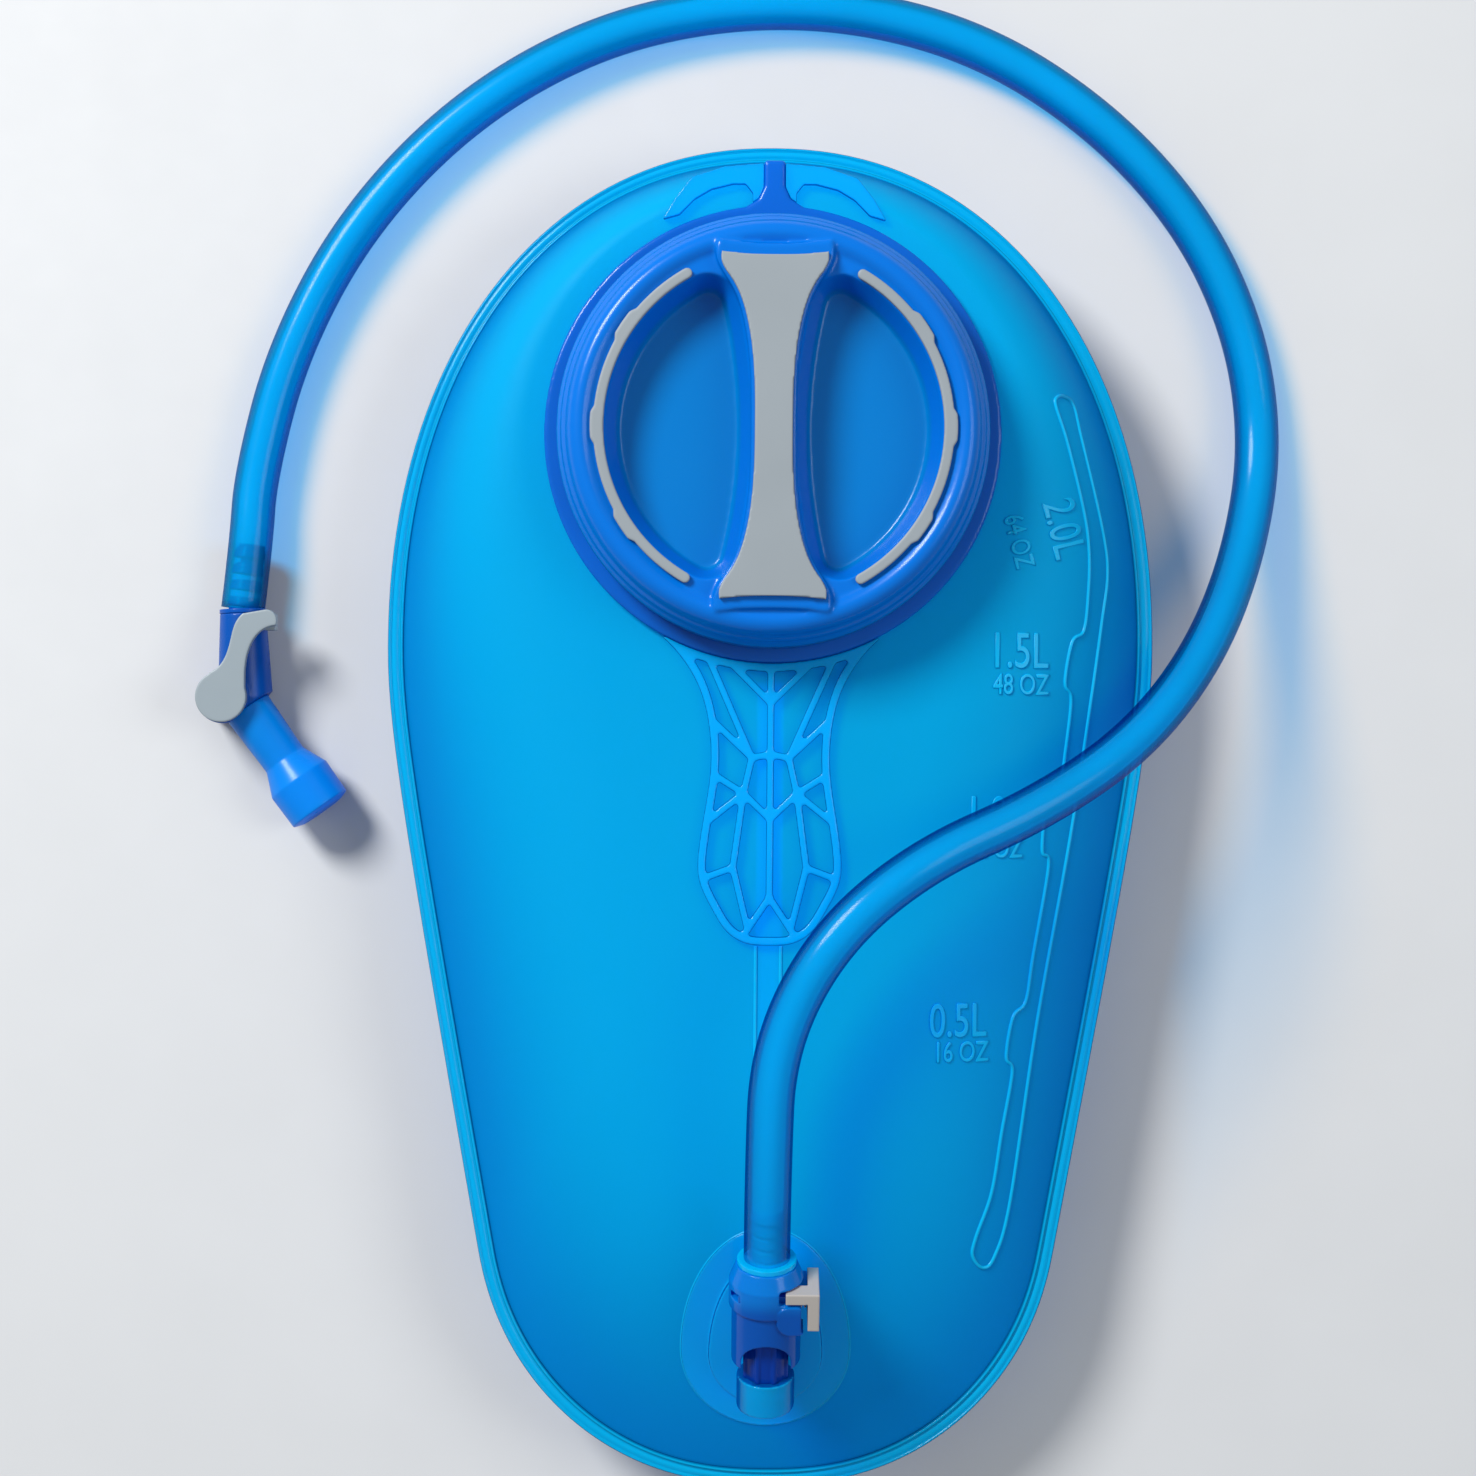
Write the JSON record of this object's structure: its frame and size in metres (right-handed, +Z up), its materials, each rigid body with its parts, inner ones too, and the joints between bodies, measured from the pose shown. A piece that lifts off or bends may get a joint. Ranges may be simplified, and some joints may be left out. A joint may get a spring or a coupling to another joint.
{
  "type": "hydration bladder",
  "caption": "Soft water reservoir with a wide screw cap, lattice handle, hanger, quick-release hose coupler, drink tube and bite valve with a shut-off lever, lying on its back.",
  "frame": {"origin": "on the floor under the middle of the bag, which lies on its back", "axes": "+Y towards the fill-port end, +X to the bag's right as seen from the front, +Z up out of the front of the bag"},
  "size_m": [0.2828, 0.3896, 0.0811],
  "materials": {
    "film": "gloss clear blue film, embossed",
    "baffle_film": "gloss clear blue film",
    "port_plastic": "gloss, deep blue",
    "wing_plastic": "gloss, clear",
    "handle_plastic": "gloss, clear",
    "cap_plastic": "gloss, deep blue, slightly clear",
    "grip_rubber": "matte soft grip, grey",
    "silicone_seal": "satin silicone, pale",
    "outlet_plastic": "gloss, clear blue",
    "nipple_plastic": "gloss, dark blue",
    "coupler_plastic": "gloss, dark blue, slightly clear",
    "latch_plastic": "satin, blue",
    "button_plastic": "satin, warm grey",
    "spring_steel": "bright drawn wire",
    "tube_plastic": "gloss clear blue flexible tube",
    "barb_plastic": "gloss, dark blue",
    "valve_plastic": "gloss, navy",
    "lever_plastic": "satin, light grey",
    "mouth_silicone": "soft silicone, blue"
  },
  "bodies": {
    "root": {"front_panel": "film", "back_panel": "film", "centre_baffle": "baffle_film", "fill_port_collar": "port_plastic", "hanger_wing_right": "wing_plastic", "hanger_wing_left": "wing_plastic", "carry_handle": "handle_plastic", "outlet_port": "outlet_plastic", "outlet_nipple": "nipple_plastic", "outlet_o_ring": "silicone_seal", "check_poppet": "nipple_plastic", "check_spring": "spring_steel", "coupler_body": "coupler_plastic", "button_spring": "spring_steel", "coupler_barb": "barb_plastic", "drink_tube": "tube_plastic", "valve_barb": "barb_plastic", "valve_body": "valve_plastic", "mouthpiece": "mouth_silicone"},
    "cap_seal": {"cap_gasket": "silicone_seal"},
    "cap": {"cap_shell": "cap_plastic", "cap_bar_grip": "grip_rubber", "cap_grip_left": "grip_rubber", "cap_grip_right": "grip_rubber"},
    "release_button": {"release_button": "button_plastic", "latch_plate": "latch_plastic"},
    "shutoff_lever": {"shutoff_lever": "lever_plastic", "shutoff_spool": "valve_plastic", "spool_o_rings": "silicone_seal"}
  },
  "joints": [
    {"name": "cap_rise", "type": "slide", "parent": "root", "child": "cap_seal", "axis": [0, 0, 1], "range_m": [0, 0.0091]},
    {"name": "cap_turn", "type": "hinge", "parent": "cap_seal", "child": "cap", "pos_m": [0, 0.0954, 0.06], "axis": [0, 0, 1], "range_deg": [0, 360]},
    {"name": "button_press", "type": "slide", "parent": "root", "child": "release_button", "axis": [-1, 0, 0], "range_m": [0, 0.0012], "stiffness_N_per_m": 500, "springref_m": -0.002, "deforming": ["button_spring"]},
    {"name": "lever_turn", "type": "hinge", "parent": "root", "child": "shutoff_lever", "pos_m": [-0.1423, 0.0298, 0.0088], "axis": [0, 0, 1], "range_deg": [-80, 0]}
  ],
  "couplings": [
    {"joint": "cap_rise", "follows": "cap_turn", "m_per_rad": 0.0014324}
  ]
}
